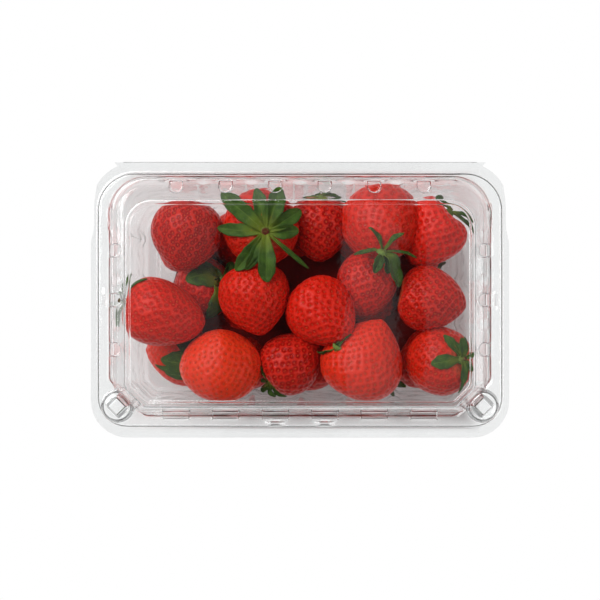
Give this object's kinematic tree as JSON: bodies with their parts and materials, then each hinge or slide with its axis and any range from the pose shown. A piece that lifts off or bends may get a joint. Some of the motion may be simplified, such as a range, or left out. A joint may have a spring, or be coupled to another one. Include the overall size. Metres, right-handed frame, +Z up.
{
  "type": "punnet of strawberries",
  "caption": "Closed clear hinged clamshell punnet, vented and locked by corner buttons, filled with a heap of ripe strawberries.",
  "frame": {"origin": "on the ground, under the middle of the pack's bounding box", "axes": "+X along the long side, +Y towards the hinge at the back, +Z up"},
  "size_m": [0.187, 0.123, 0.076],
  "materials": {
    "clear_film": "clear thermoformed film",
    "fruit": "ripe strawberry skin, softly glossy",
    "seed": "straw-yellow seeds",
    "leaf": "green calyx leaves and stalk stubs"
  },
  "bodies": {
    "tray": {"tray": "clear_film", "strawberries": "fruit"},
    "lid": {"lid": "clear_film"}
  },
  "joints": [
    {"name": "lid_hinge", "type": "hinge", "parent": "tray", "child": "lid", "pos_m": [0, 0.0615, 0.058], "axis": [-1, 0, 0], "range_deg": [0, 180]}
  ]
}
